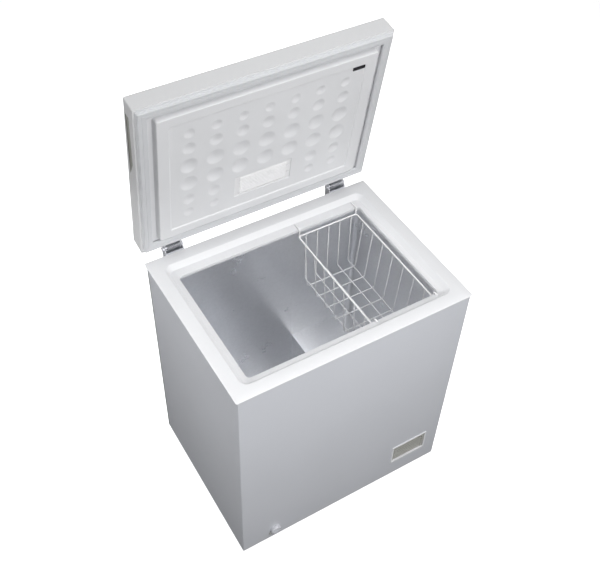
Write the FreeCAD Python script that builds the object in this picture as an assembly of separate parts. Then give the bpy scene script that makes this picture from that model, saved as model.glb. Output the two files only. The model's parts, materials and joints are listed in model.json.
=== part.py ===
import FreeCAD, Part

import math
import os

# Chest freezer: insulated cabinet with a compressor bay at its lower right, a hinged lid, and a
# wire basket that slides along the rim.  Millimetres.  X to the right, Y to the back, Z up.
# Everything is drawn about the middle of the cabinet, with the lid shut.  The lid is then turned
# about its hinge pins to the open position that is the rest pose, and the whole is moved along Y
# so that the origin is on the floor under the middle of the open freezer.

V = FreeCAD.Vector
PARTS = "parts"

# ------------------------------------------------------------------ driving dimensions: cabinet
body_width = 719.0            # steel wrap, outside, along X
body_depth = 538.0            # steel wrap, outside, along Y
body_height = 784.0           # steel wrap, lower edge to upper edge
corner_radius = 3.0           # upright edges of the wrap
frame_radius = 4.0            # upright edges of the top frame
sheet = 1.0                   # painted steel sheet
base_sheet = 1.2              # galvanised base plate
foot_height = 8.0
foot_radius = 20.0
foot_inset = 45.0             # foot centre from the wrap's outside faces

# ------------------------------------------------------------------ driving dimensions: top frame
flange_thick = 2.5            # flat flange that covers the wrap's upper edge
overhang_x = 5.5
overhang_y = 2.7
ledge_x = 39.0                # flat sealing ledge, left and right
ledge_y = 38.5                # flat sealing ledge, front and back
slope_run = 13.0              # slope between the ledge and the basket shelf, seen from above
slope_drop = 14.9
shelf_x = 15.0                # basket shelf, left and right
shelf_front = 14.2
shelf_back = 26.2
shelf_drop = 1.5
lip_height = 10.0             # upright lip at the opening's edge
frame_wall = 2.5
skirt_height = 20.0           # part of the frame that stands inside the wrap
opening_radius = 12.0

# ------------------------------------------------------------------ driving dimensions: liner
liner_sheet = 0.8
liner_radius = 14.0
liner_lap = 7.0               # liner behind the frame's lip
floor_insulation = 64.0
step_length = 221.0           # step over the compressor bay, from the right wall
step_height = 224.0           # above the liner's floor
bay_insulation = 58.0         # between the liner's step and the compressor bay
bay_sheet = 0.8

# ------------------------------------------------------------------ driving dimensions: lid
lid_inset_x = 1.0             # lid's side to the top frame's edge
lid_inset_y = 4.2
lid_height = 52.0
lid_gap = 12.2                # between the frame's ledge and the lid's rim when shut
lid_radius = 4.0
lid_edge = 3.0                # rounding of the lid's upper edges
lid_wall = 1.5
rim_return = 9.0              # inward return at the lid's rim
panel_wall = 1.8
plateau_margin_x = 50.0       # lid's side to the raised middle of the inner panel
plateau_margin_y = 43.5
plateau_depth = 17.0
plateau_radius = 7.0
field_margin_x = 32.0         # raised border round the sunk field
field_margin_y = 29.0
field_depth = 3.0
field_radius = 6.0
gasket_inset = 5.0            # lid's side to the gasket
gasket_width = 28.0
gasket_clear = 0.3            # gasket to ledge, shut
hinge_turn = 81.55            # lid's rest opening, degrees
pivot_back = 17.3             # hinge pin behind the wrap's back face
pivot_rise = 12.0             # hinge pin above the frame's ledge

# ------------------------------------------------------------------ driving dimensions: hinges
hinge_offset = 270.0          # hinge centre from the middle
hinge_width = 56.0
hinge_sheet = 2.0
hinge_gap = 1.5               # leaf ear to bracket ear
bracket_drop = 92.0           # bracket's lower end below the ledge
pin_radius = 4.0
pin_clear = 0.05
spring_wire = 3.0
spring_radius = 7.5           # to the middle of the wire
spring_pitch = 4.4
spring_turns = 9
spring_leg = 17.0
screw_radius = 2.0
screw_head = 4.0

# ------------------------------------------------------------------ driving dimensions: basket
basket_length = 203.0         # rim, wire centre to wire centre, along X
basket_side_gap = 9.0         # rim wire's centre to the opening's right edge
basket_end_gap = 5.5          # rim wire's centre to the opening's front and back edges
basket_depth = 187.0          # rim wire's centre to the floor wires' centre
rim_wire = 5.0
grid_wire = 3.0
side_draft = 14.0             # each side leans in by this much at the floor
end_draft = 5.0
long_count = 5
long_pitch = 39.6
long_inset = 18.0             # last lengthwise wire from the rim's right end
cross_count = 7
cross_pitch = 52.0
hook_clear = 0.3              # hook to shelf

# ------------------------------------------------------------------ driving dimensions: fittings
vent_width = 131.0
vent_height = 87.0
vent_side = 49.0              # vent's right end to the wrap's right face
vent_low = 71.0               # vent's lower edge above the wrap's lower edge
vent_bar = 3.2
vent_wall = 1.5
slat_count = 7
slat_depth = 3.0
slat_thick = 2.4
slat_setback = 2.5
drain_side = 111.5            # drain axis to the wrap's left face
drain_low = 40.0              # drain axis above the wrap's lower edge
drain_bore = 9.0
drain_wall = 2.5
drain_cap_radius = 18.0
drain_cap_seat = 0.4          # cap to front panel
drain_cap_disc = 11.0
drain_cap_grip = 1.0          # grip bar in front of the disc
blank_radius = 2.5            # blanking plug beside the drain
plug_setback = 92.0           # floor drain's axis behind the front face
knob_radius = 15.0
compressor_radius = 70.0
compressor_height = 150.0
tube_radius = 4.0
condenser_radius = 2.5

# ------------------------------------------------------------------ levels and faces
half_w = body_width / 2
half_d = body_depth / 2
wrap_low = foot_height
wrap_top = wrap_low + body_height
ledge_z = wrap_top + flange_thick
base_top = wrap_low + base_sheet
frame_x = half_w + overhang_x
frame_y = half_d + overhang_y
slope_top_x = frame_x - ledge_x
slope_top_y = frame_y - ledge_y
slope_low_x = slope_top_x - slope_run
slope_low_y = slope_top_y - slope_run
open_x = slope_low_x - shelf_x
open_front = -(slope_low_y - shelf_front)
open_back = slope_low_y - shelf_back
shelf_z = ledge_z - slope_drop
open_z = shelf_z - shelf_drop
lip_low = open_z - lip_height
well_x = open_x + frame_wall
well_front = open_front - frame_wall
well_back = open_back + frame_wall
liner_top = lip_low + liner_lap
floor_z = base_top + floor_insulation + liner_sheet
step_x = well_x - step_length
step_z = floor_z + step_height
bay_x = step_x + bay_insulation
bay_z = step_z - bay_insulation
rim_z = ledge_z + lid_gap
lid_top = rim_z + lid_height
pivot_y = half_d + pivot_back
pivot_z = ledge_z + pivot_rise
inner_x = half_w - sheet
inner_y = half_d - sheet


# ------------------------------------------------------------------ helpers
def box(x0, x1, y0, y1, z0, z1):
    return Part.makeBox(x1 - x0, y1 - y0, z1 - z0, V(x0, y0, z0))


def cylinder(radius, start, end):
    axis = end - start
    return Part.makeCylinder(radius, axis.Length, start, axis)


def outline(x0, x1, y0, y1, radius, z):
    """Rounded rectangle in a level plane, as a closed wire."""
    r = radius
    k = r * (1 - math.sqrt(0.5))
    sides = [(V(x0 + r, y0, z), V(x1 - r, y0, z)), (V(x1, y0 + r, z), V(x1, y1 - r, z)),
             (V(x1 - r, y1, z), V(x0 + r, y1, z)), (V(x0, y1 - r, z), V(x0, y0 + r, z))]
    bulges = [V(x1 - k, y0 + k, z), V(x1 - k, y1 - k, z), V(x0 + k, y1 - k, z), V(x0 + k, y0 + k, z)]
    edges = []
    for i, (start, end) in enumerate(sides):
        edges.append(Part.LineSegment(start, end).toShape())
        edges.append(Part.Arc(end, bulges[i], sides[(i + 1) % 4][0]).toShape())
    return Part.Wire(edges)


def slab(x0, x1, y0, y1, radius, z0, z1):
    return Part.Face(outline(x0, x1, y0, y1, radius, z0)).extrude(V(0, 0, z1 - z0))


def taper(low, high, z0, z1):
    """Straight-sided solid between two rounded rectangles given as (x0, x1, y0, y1, radius)."""
    return Part.makeLoft([outline(*low, z0), outline(*high, z1)], True, True)


def plate(points, start, travel):
    """Flat polygon whose corners are given as vectors, pushed along a vector."""
    moved = [p + start for p in points]
    return Part.Face(Part.makePolygon(moved + [moved[0]])).extrude(travel)


def round_path(points, bend, closed=False):
    """Straight runs joined by tangent arcs of one bend radius."""
    n = len(points)
    corners = range(n) if closed else range(1, n - 1)
    cuts = {}
    for i in corners:
        back = (points[i - 1] - points[i]).normalize()
        ahead = (points[(i + 1) % n] - points[i]).normalize()
        turn = math.pi - back.getAngle(ahead)
        trim = bend * math.tan(turn / 2)
        middle = (back + ahead).normalize()
        centre = points[i] + middle * (bend / math.cos(turn / 2))
        cuts[i] = (points[i] + back * trim, centre - middle * bend, points[i] + ahead * trim)
    edges = []
    for i in range(n if closed else n - 1):
        j = (i + 1) % n
        start = cuts[i][2] if i in cuts else points[i]
        end = cuts[j][0] if j in cuts else points[j]
        edges.append(Part.LineSegment(start, end).toShape())
        if j in cuts:
            edges.append(Part.Arc(*cuts[j]).toShape())
    return Part.Wire(edges)


def rod(points, radius, bend, closed=False):
    """Round wire or tube run along a path."""
    path = round_path(points, bend, closed)
    first = path.Edges[0]
    start = first.valueAt(first.FirstParameter)
    along = first.tangentAt(first.FirstParameter)
    ring = Part.Wire(Part.makeCircle(radius, start, along))
    return path.makePipeShell([ring], True, False)


def joined(shapes):
    return shapes[0].multiFuse(shapes[1:]).removeSplitter()


def both_sides(shape):
    return [shape, shape.mirror(V(0, 0, 0), V(1, 0, 0))]


def screws(places, direction, length):
    """Pan-head screws: head outside the face, shank into it along the direction."""
    made = []
    for place in places:
        head = cylinder(screw_head, place - direction * screw_head * 0.55, place)
        shank = cylinder(screw_radius, place, place + direction * length)
        made.append(head.fuse(shank))
    return made


def screw_holes(places, direction, length):
    return [cylinder(screw_radius, place - direction * length, place + direction * length) for place in places]


def opened(shape):
    """Turn a piece of the shut lid about the hinge pins to the rest pose."""
    turned = shape.copy()
    turned.rotate(V(0, pivot_y, pivot_z), V(-1, 0, 0), hinge_turn)
    return turned


nodes = {}


def keep(name, shapes):
    nodes[name] = shapes if isinstance(shapes, list) else [shapes]


# ------------------------------------------------------------------ cabinet shell
panel_return = 12.0           # front and rear panels wrap this far round the corners
vent_x1 = half_w - vent_side
vent_x0 = vent_x1 - vent_width
vent_z0 = wrap_low + vent_low
vent_z1 = vent_z0 + vent_height
drain_x = -(half_w - drain_side)
drain_z = wrap_low + drain_low
plug_y = -half_d + plug_setback
tube_outer = drain_bore + drain_wall

wrap = slab(-half_w, half_w, -half_d, half_d, corner_radius, wrap_low, wrap_top)
wrap = wrap.cut(slab(-inner_x, inner_x, -inner_y, inner_y, corner_radius - sheet, wrap_low, wrap_top))
side_y = half_d - panel_return


def front_panel():
    panel = wrap.common(box(-half_w, half_w, -half_d, -side_y, wrap_low, wrap_top))
    mouth = box(vent_x0 + vent_bar, vent_x1 - vent_bar, -half_d, 0, vent_z0 + vent_bar, vent_z1 - vent_bar)
    drain = cylinder(tube_outer, V(drain_x, -half_d - sheet, drain_z), V(drain_x, 0, drain_z))
    stud = cylinder(blank_radius, blank_at, blank_at + V(0, 4 * sheet, 0))
    return panel.cut([mouth, drain, stud])


blank_at = V(drain_x - 18.0, -half_d - sheet, drain_z - 14.0)

grille_x0 = bay_x + 14.0
grille_x1 = half_w - 18.0
grille_z0 = wrap_low + 16.0
grille_z1 = bay_z - 10.0
grille_lap = 8.0
slot_rows = 9
slot_height = 4.0
side_vent_y0 = 40.0
side_vent_y1 = 190.0


def rear_panel():
    panel = wrap.common(box(-half_w, half_w, side_y, half_d, wrap_low, wrap_top))
    mouth = box(grille_x0, grille_x1, 0, half_d, grille_z0, grille_z1)
    holes = screw_holes(grille_screw_places(), V(0, -1, 0), 12)
    for one in screw_holes(bracket_screw_places(), V(0, -1, 0), 12):
        holes += at_hinges(one)
    return panel.cut([mouth] + holes)


def slot_levels(low, high, rows):
    pitch = (high - low) / (rows + 1)
    return [low + pitch * (i + 1) for i in range(rows)]


def left_panel():
    return wrap.common(box(-half_w, 0, -side_y, side_y, wrap_low, wrap_top))


knob_at = V(half_w, -half_d + 110.0, wrap_low + 120.0)
bezel_length = 96.0
bezel_height = 58.0
bezel_thick = 1.5
knob_well = knob_radius + 1.2
lens_radius = 3.0
lens_offsets = (32.0, 42.0)


def right_panel():
    panel = wrap.common(box(0, half_w, -side_y, side_y, wrap_low, wrap_top))
    slots = [box(0, half_w, side_vent_y0, side_vent_y1, z, z + slot_height)
             for z in slot_levels(wrap_low + 30, bay_z - 20, slot_rows)]
    well = cylinder(knob_well + 2, knob_at - V(4, 0, 0), knob_at + V(4, 0, 0))
    lamps = [cylinder(lens_radius, knob_at + V(-4, -dy, 0), knob_at + V(4, -dy, 0)) for dy in lens_offsets]
    return panel.cut(slots + [well] + lamps)


def base_plate():
    return slab(-inner_x, inner_x, -inner_y, inner_y, corner_radius - sheet, wrap_low, base_top)


def feet():
    made = []
    for x in (-(half_w - foot_inset), half_w - foot_inset):
        for y in (-(half_d - foot_inset), half_d - foot_inset):
            made.append(Part.makeCone(foot_radius * 0.85, foot_radius, foot_height, V(x, y, 0)))
    return made


# ------------------------------------------------------------------ top frame
def funnel(grow, drop, low):
    """Space inside the top frame: slope, basket shelf and opening, grown sideways and lowered."""
    top = (-slope_top_x - grow, slope_top_x + grow, -slope_top_y - grow, slope_top_y + grow,
           opening_radius + slope_run + grow)
    middle = (-slope_low_x - grow, slope_low_x + grow, -slope_low_y - grow, slope_low_y + grow,
              opening_radius + grow)
    edge = (-open_x - grow, open_x + grow, open_front - grow, open_back + grow, opening_radius + grow)
    slope = taper(middle, top, shelf_z - drop, ledge_z - drop)
    shelf = taper(edge, middle, open_z - drop, shelf_z - drop)
    return [slope, shelf, slab(*edge, low, open_z - drop)]


def top_frame():
    flange = slab(-frame_x, frame_x, -frame_y, frame_y, frame_radius, wrap_top, ledge_z)
    skirt_low = wrap_top - skirt_height
    skirt = slab(-inner_x, inner_x, -inner_y, inner_y, corner_radius - sheet, min(skirt_low, lip_low), wrap_top)
    hollow_x = inner_x - frame_wall
    hollow_y = inner_y - frame_wall
    hollow = slab(-hollow_x, hollow_x, -hollow_y, hollow_y, corner_radius, min(skirt_low, lip_low), wrap_top)
    hollow = hollow.cut(funnel(frame_wall, frame_wall, lip_low))
    return flange.fuse(skirt).cut([hollow] + funnel(0, 0, min(skirt_low, lip_low) - 1)).removeSplitter()


# ------------------------------------------------------------------ liner
def liner_ring():
    outer = slab(-well_x - liner_sheet, well_x + liner_sheet, well_front - liner_sheet,
                 well_back + liner_sheet, liner_radius + liner_sheet, floor_z - liner_sheet, liner_top)
    inner = slab(-well_x, well_x, well_front, well_back, liner_radius, floor_z - liner_sheet, liner_top)
    over_bay = box(step_x, half_w, -half_d, half_d, floor_z - liner_sheet, step_z - liner_sheet)
    return outer.cut([inner, over_bay])


def liner_pieces():
    ring = liner_ring()
    far = 1000.0
    flat_x = well_x - liner_radius
    flat_y0 = well_front + liner_radius
    flat_y1 = well_back - liner_radius
    middle_y = (well_front + well_back) / 2
    keep("liner_front_wall", ring.common(box(-flat_x, flat_x, -far, middle_y, 0, far)))
    keep("liner_back_wall", ring.common(box(-flat_x, flat_x, middle_y, far, 0, far)))
    keep("liner_left_wall", ring.common(box(-far, 0, flat_y0, flat_y1, 0, far)))
    keep("liner_right_wall", ring.common(box(0, far, flat_y0, flat_y1, 0, far)))
    corners = []
    for x0, x1 in ((-far, -flat_x), (flat_x, far)):
        for y0, y1 in ((-far, flat_y0), (flat_y1, far)):
            corners.append(ring.common(box(x0, x1, y0, y1, 0, far)))
    keep("liner_corner_strips", corners)
    sole = slab(-well_x, well_x, well_front, well_back, liner_radius, floor_z - liner_sheet, floor_z)
    sole = sole.common(box(-far, step_x, -far, far, 0, far))
    hole = cylinder(drain_bore, V(drain_x, plug_y, 0), V(drain_x, plug_y, floor_z + 1))
    keep("liner_floor", sole.cut(hole))
    top = slab(-well_x, well_x, well_front, well_back, liner_radius, step_z - liner_sheet, step_z)
    keep("liner_step_top", top.common(box(step_x, far, -far, far, 0, far)))
    riser = box(step_x, step_x + liner_sheet, well_front, well_back, floor_z - liner_sheet, step_z - liner_sheet)
    keep("liner_step_side", riser)


# ------------------------------------------------------------------ refrigeration tubes in the foam
loop_count = 6
loop_gap = 0.6                # tube to liner
evaporator_bend = 18.0
condenser_runs = 8
condenser_bend = 20.0


def evaporator_tube():
    reach = tube_radius + loop_gap + liner_sheet
    x = well_x + reach
    y0 = well_front - reach
    y1 = well_back + reach
    low = step_z + 30
    high = liner_top - 60
    pitch = (high - low) / (loop_count - 1)
    points = [V(x - 80, y1, low)]
    for i in range(loop_count):
        z = low + pitch * i
        points += [V(x, y1, z), V(x, y0, z), V(-x, y0, z), V(-x, y1, z + pitch * 0.2)]
    points.append(V(-x + 120, y1, high + pitch * 0.2))
    return rod(points, tube_radius, evaporator_bend)


def condenser_tube(side, low):
    x = side * (inner_x - condenser_radius - 0.3)
    reach = inner_y - 40
    high = lip_low - 60
    pitch = (high - low) / (condenser_runs - 1)
    points = []
    for i in range(condenser_runs):
        ends = [V(x, -reach, low + pitch * i), V(x, reach, low + pitch * i)]
        points += ends if i % 2 == 0 else ends[::-1]
    return rod(points, condenser_radius, condenser_bend)


# ------------------------------------------------------------------ drain


def drain_tube():
    """Elbow from the liner's floor to the front panel, open at both ends."""
    top = V(drain_x, plug_y, floor_z - liner_sheet)
    turn = V(drain_x, plug_y, drain_z)
    front = V(drain_x, -half_d, drain_z)
    bend = tube_outer + 4
    outer = rod([top, turn, front], tube_outer, bend)
    inner = rod([top, turn, front], drain_bore, bend)
    return outer.cut(inner)


def drain_cap():
    """Push-in cap with a rounded grip and a hollow stem inside the tube's mouth."""
    face = -half_d - drain_cap_seat
    front = face - drain_cap_disc
    disc = cylinder(drain_cap_radius, V(drain_x, front, drain_z), V(drain_x, face, drain_z))
    rim = [e for e in disc.Edges if len(e.Vertexes) == 1 and e.BoundBox.YMax < front + 1]
    disc = disc.makeFillet(3.5, rim)
    dish = cylinder(drain_cap_radius - 5, V(drain_x, front - 1, drain_z), V(drain_x, front + 4, drain_z))
    disc = disc.cut(dish)
    grip = box(drain_x - 13.5, drain_x + 13.5, front - drain_cap_grip, front + 5, drain_z - 2, drain_z + 2)
    stem = cylinder(drain_bore - 0.4, V(drain_x, face, drain_z), V(drain_x, face + 16, drain_z))
    core = cylinder(drain_bore - 2.4, V(drain_x, face + 2, drain_z), V(drain_x, face + 16, drain_z))
    return joined([disc, grip, stem]).cut(core)


def drain_plug():
    """Stopper that lifts out of the liner's floor."""
    seat = floor_z + 0.4
    top = Part.makeCone(drain_bore + 5, drain_bore + 3, 3, V(drain_x, plug_y, seat))
    stem = Part.makeCylinder(drain_bore - 0.5, 13, V(drain_x, plug_y, seat - 13))
    tab = box(drain_x - 7, drain_x + 7, plug_y - 1.5, plug_y + 1.5, seat + 2.5, seat + 7)
    return joined([top, stem, tab])


def blanking_plug():
    head = Part.makeSphere(blank_radius + 1.2, blank_at + V(0, sheet, 0))
    head = head.common(box(blank_at.x - 9, blank_at.x + 9, -half_d - 9, -half_d, blank_at.z - 9, blank_at.z + 9))
    stem = cylinder(blank_radius, V(blank_at.x, -half_d, blank_at.z), V(blank_at.x, -half_d + 2 * sheet, blank_at.z))
    return head.fuse(stem)


# ------------------------------------------------------------------ insulation
def bay_space():
    return box(bay_x - bay_sheet, half_w, -half_d, half_d, base_top, bay_z + bay_sheet)


def cabinet_foam():
    block = slab(-inner_x, inner_x, -inner_y, inner_y, corner_radius - sheet, base_top, ledge_z - frame_wall)
    well = slab(-well_x - liner_sheet, well_x + liner_sheet, well_front - liner_sheet,
                well_back + liner_sheet, liner_radius + liner_sheet, floor_z - liner_sheet, ledge_z)
    under_step = box(step_x, half_w, -half_d, half_d, 0, step_z - liner_sheet)
    well = well.cut(under_step)
    frame = nodes["top_frame"][0]
    pipes = nodes["evaporator_tube"] + nodes["condenser_tubes"]
    elbow = rod([V(drain_x, plug_y, floor_z), V(drain_x, plug_y, drain_z), V(drain_x, -half_d - 5, drain_z)],
                tube_outer, tube_outer + 4)
    riser = nodes["liner_step_side"][0]
    stud = cylinder(blank_radius + 1, blank_at, blank_at + V(0, 10, 0))
    holes = [one for hole in screw_holes(bracket_screw_places(), V(0, -1, 0), 12) for one in at_hinges(hole)]
    foam = block.cut([frame] + funnel(0, 0, lip_low - 1) + [well, bay_space(), elbow, riser, stud])
    return foam.cut(pipes + holes)


# ------------------------------------------------------------------ compressor bay
comp_x = (bay_x + half_w) / 2
comp_y = half_d - 140.0
bush_height = 12.0
bush_x = 72.0
bush_y = 62.0
bolt_radius = 3.0
mount_sheet = 2.5
mount_z = base_top + bush_height
shell_z = mount_z + mount_sheet


def bush_places(z):
    return [V(comp_x + sx * bush_x, comp_y + sy * bush_y, z) for sx in (-1, 1) for sy in (-1, 1)]


def compressor_mount_plate():
    margin = 14.0
    body = slab(comp_x - bush_x - margin, comp_x + bush_x + margin, comp_y - bush_y - margin,
                comp_y + bush_y + margin, 10, mount_z, shell_z)
    return body.cut([Part.makeCylinder(bolt_radius + 0.2, 9, p) for p in bush_places(mount_z - 3)])


def compressor_bushes():
    made = []
    for p in bush_places(base_top):
        bush = Part.makeCone(12, 9.5, bush_height, p)
        made.append(bush.cut(Part.makeCylinder(bolt_radius + 0.2, bush_height, p)))
    return made


def compressor_bolts():
    made = []
    for p in bush_places(base_top):
        stud = Part.makeCylinder(bolt_radius, bush_height + mount_sheet + 8, p)
        nut_z = shell_z
        corners = [V(6 * math.cos(math.radians(60 * i)), 6 * math.sin(math.radians(60 * i)), 0) for i in range(6)]
        nut = plate(corners, V(p.x, p.y, nut_z), V(0, 0, 5))
        made.append(stud.fuse(nut))
    return made


def compressor_shell():
    body = Part.makeCylinder(compressor_radius, compressor_height, V(comp_x, comp_y, shell_z))
    ends = [e for e in body.Edges if len(e.Vertexes) == 1]
    body = body.makeFillet(compressor_radius * 0.45, ends)
    seam = Part.makeCylinder(compressor_radius + 3, 5, V(comp_x, comp_y, shell_z + compressor_height * 0.55))
    return body.fuse(seam)


def compressor_terminal_cover():
    face = comp_y - compressor_radius * 0.8
    z = shell_z + 34
    cover = box(comp_x - 26, comp_x + 26, face - 34, face, z, z + 46)
    edges = [e for e in cover.Edges if abs(e.BoundBox.YMax - (face - 34)) < 0.01]
    cover = cover.makeFillet(4, edges)
    return cover.cut(nodes["compressor_shell"][0])


drier_radius = 9.5
drier_z = base_top + 40.0
drier_x = bay_x + 22.0


def filter_drier():
    start = V(drier_x, comp_y - 120, drier_z)
    end = V(drier_x, comp_y + 10, drier_z)
    body = cylinder(drier_radius, start, end)
    ends = [e for e in body.Edges if len(e.Vertexes) == 1]
    return body.makeFillet(drier_radius * 0.6, ends)


def suction_line():
    start = V(comp_x, comp_y + compressor_radius * 0.9, shell_z + 60)
    rise = V(comp_x, comp_y + compressor_radius + 34, shell_z + 60)
    top = V(comp_x, comp_y + compressor_radius + 34, bay_z)
    return rod([start, rise, top], tube_radius, 16).cut(nodes["compressor_shell"][0])


def discharge_line():
    x = comp_x + compressor_radius + 20
    start = V(comp_x + compressor_radius * 0.9, comp_y - 20, shell_z + 48)
    corner = V(x, comp_y - 20, shell_z + 48)
    down = V(x, comp_y - 20 - 80, shell_z + 48)
    top = V(x, comp_y - 100, bay_z)
    return rod([start, corner, down, top], condenser_radius, 9).cut(nodes["compressor_shell"][0])


def capillary_tube():
    start = V(drier_x, comp_y + 10, drier_z)
    back = V(drier_x, comp_y + 60, drier_z)
    top = V(drier_x, comp_y + 60, bay_z)
    return rod([start, back, top], 1.2, 12)


def bay_wall():
    return box(bay_x - bay_sheet, bay_x, -inner_y, inner_y, base_top, bay_z)


def bay_roof():
    roof = box(bay_x - bay_sheet, inner_x, -inner_y, inner_y, bay_z, bay_z + bay_sheet)
    return roof


gland_bore = 4.0
gland_at = V(grille_x1 - 22, half_d, grille_z0 + 20)


def rear_grille():
    x0 = grille_x0 - grille_lap
    x1 = grille_x1 + grille_lap
    z0 = grille_z0 - grille_lap
    z1 = grille_z1 + grille_lap
    cover = box(x0, x1, half_d, half_d + 2.5, z0, z1)
    slots = [box(grille_x0 + 14, grille_x1 - 14, 0, half_d + 9, z, z + slot_height)
             for z in slot_levels(grille_z0 + 42, grille_z1 - 6, slot_rows)]
    hole = cylinder(gland_bore + 3, gland_at - V(0, 9, 0), gland_at + V(0, 9, 0))
    return cover.cut(slots + [hole] + screw_holes(grille_screw_places(), V(0, -1, 0), 12))


def grille_screw_places():
    y = half_d + 2.5
    xs = (grille_x0 - grille_lap / 2, grille_x1 + grille_lap / 2)
    zs = (grille_z0 + 20, grille_z1 - 20)
    return [V(x, y, z) for x in xs for z in zs]


def grille_screws():
    return screws(grille_screw_places(), V(0, -1, 0), 9)


def cord_gland():
    outer = cylinder(gland_bore + 5.5, gland_at + V(0, 2.5, 0), gland_at + V(0, 6, 0))
    neck = cylinder(gland_bore + 3, gland_at - V(0, 8, 0), gland_at + V(0, 2.5, 0))
    bore = cylinder(gland_bore, gland_at - V(0, 9, 0), gland_at + V(0, 9, 0))
    return outer.fuse(neck).cut(bore)


# ------------------------------------------------------------------ front vent and side control
def vent_bezel():
    outer = box(vent_x0, vent_x1, -half_d - 1.6, -half_d, vent_z0, vent_z1)
    tunnel = box(vent_x0 + vent_bar, vent_x1 - vent_bar, -half_d, -half_d + 16, vent_z0 + vent_bar, vent_z1 - vent_bar)
    inset = vent_bar + vent_wall
    mouth = box(vent_x0 + inset, vent_x1 - inset, -half_d - 9, -half_d + 16, vent_z0 + inset, vent_z1 - inset)
    return outer.fuse(tunnel).cut(mouth)


def vent_louvre():
    inset = vent_bar + vent_wall
    x0 = vent_x0 + inset
    x1 = vent_x1 - inset
    z0 = vent_z0 + inset
    z1 = vent_z1 - inset
    y0 = -half_d + slat_setback
    rail = 7.0
    pitch = (z1 - z0) / slat_count
    blades = [box(x0, x0 + rail, y0, y0 + slat_depth, z0, z1), box(x1 - rail, x1, y0, y0 + slat_depth, z0, z1)]
    for i in range(slat_count):
        low = z0 + pitch * (i + 0.5) - slat_thick / 2
        blade = [V(0, 0, low), V(0, 0, low + slat_thick), V(0, slat_depth, low + slat_thick + 1), V(0, slat_depth, low + 1)]
        blades.append(plate(blade, V(x0, y0, 0), V(x1 - x0, 0, 0)))
    return joined(blades)


def control_bezel():
    y0 = knob_at.y - 24 - bezel_length / 2
    face = box(half_w, half_w + bezel_thick, y0, y0 + bezel_length, knob_at.z - bezel_height / 2, knob_at.z + bezel_height / 2)
    corners = [e for e in face.Edges if abs(e.BoundBox.XLength - bezel_thick) < 0.01]
    face = face.makeFillet(6, corners)
    cup = cylinder(knob_well + 2, knob_at - V(12, 0, 0), knob_at)
    well = cylinder(knob_well, knob_at - V(10, 0, 0), knob_at + V(9, 0, 0))
    shaft = cylinder(3.6, knob_at - V(13, 0, 0), knob_at)
    lamps = [cylinder(lens_radius, knob_at + V(-4, -dy, 0), knob_at + V(4, -dy, 0)) for dy in lens_offsets]
    return face.fuse(cup).cut([well, shaft] + lamps)


def thermostat_knob():
    body = cylinder(knob_radius, knob_at - V(9, 0, 0), knob_at + V(2.5, 0, 0))
    grip = box(knob_at.x + 2, knob_at.x + 5, knob_at.y - 2.5, knob_at.y + 2.5, knob_at.z - knob_radius + 2, knob_at.z + knob_radius - 2)
    return body.fuse(grip)


def thermostat_body():
    case = box(knob_at.x - 46, knob_at.x - 14, knob_at.y - 18, knob_at.y + 18, knob_at.z - 20, knob_at.z + 20)
    shaft = cylinder(3.0, knob_at - V(14, 0, 0), knob_at - V(9.3, 0, 0))
    return case.fuse(shaft)


def indicator_lenses():
    made = []
    for dy in lens_offsets:
        at = knob_at + V(0, -dy, 0)
        stem = cylinder(lens_radius, at - V(4, 0, 0), at + V(bezel_thick, 0, 0))
        dome = Part.makeSphere(lens_radius, at + V(bezel_thick, 0, 0))
        made.append(stem.fuse(dome.common(box(at.x + bezel_thick, at.x + 9, at.y - 5, at.y + 5, at.z - 5, at.z + 5))))
    return made


# ------------------------------------------------------------------ hinges
leaf_half = hinge_width / 2 - hinge_sheet - hinge_gap
ear_radius = 9.0
cover_reach = 14.0            # leaf's cover behind the pin, shut
leaf_sweep = cover_reach      # depth below the pin that the turning cover needs between the ears
slot_half = 16.0              # slot through the leaf's cover
slot_from = 5.0               # slot's near side and far side, measured from the cover's free edge
slot_to = 9.5
lid_back = frame_y - lid_inset_y


def disc_x(x0, x1, radius):
    return cylinder(radius, V(x0, pivot_y, pivot_z), V(x1, pivot_y, pivot_z))


def screw_grid(face_y, low, high, half):
    return [V(x, face_y, z) for x in (-half, half) for z in (low, high)]


def hinge_bracket():
    """U-shaped bracket on the cabinet's back; its two ears hold the pin, and its web steps round the frame."""
    half = hinge_width / 2
    low = ledge_z - bracket_drop
    neck = wrap_top - 4
    clear_y = frame_y + 0.6
    web = box(-half, half, half_d, half_d + hinge_sheet, low, neck)
    web = web.cut([cylinder(screw_radius + 0.2, p, p + V(0, -9, 0)) for p in bracket_screw_places()])
    jog = box(-half, half, half_d, clear_y + hinge_sheet, neck - hinge_sheet, neck)
    apron = box(-half, half, clear_y, clear_y + hinge_sheet, neck - hinge_sheet, pivot_z - ear_radius - 0.5)
    back_y = pivot_y + ear_radius
    back = box(-half, half, back_y - hinge_sheet, back_y, low + 34, pivot_z - leaf_sweep - 0.5)
    pieces = [web, jog, apron, back]
    outline_yz = [(half_d, low), (half_d, neck), (clear_y, neck), (clear_y, pivot_z - 3), (pivot_y - ear_radius, pivot_z),
                  (pivot_y + ear_radius, pivot_z), (pivot_y + ear_radius, low + 34), (half_d + 8, low)]
    for side in (-1, 1):
        x0 = side * half if side < 0 else half - hinge_sheet
        ear = plate([V(0, y, z) for y, z in outline_yz], V(x0, 0, 0), V(hinge_sheet, 0, 0))
        pieces += [ear, disc_x(x0, x0 + hinge_sheet, ear_radius)]
    bore = disc_x(-half - 1, half + 1, pin_radius)
    return joined(pieces).cut(bore)


def bracket_screw_places():
    low = ledge_z - bracket_drop
    return screw_grid(half_d + hinge_sheet, low + 14, low + 50, 15)


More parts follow.
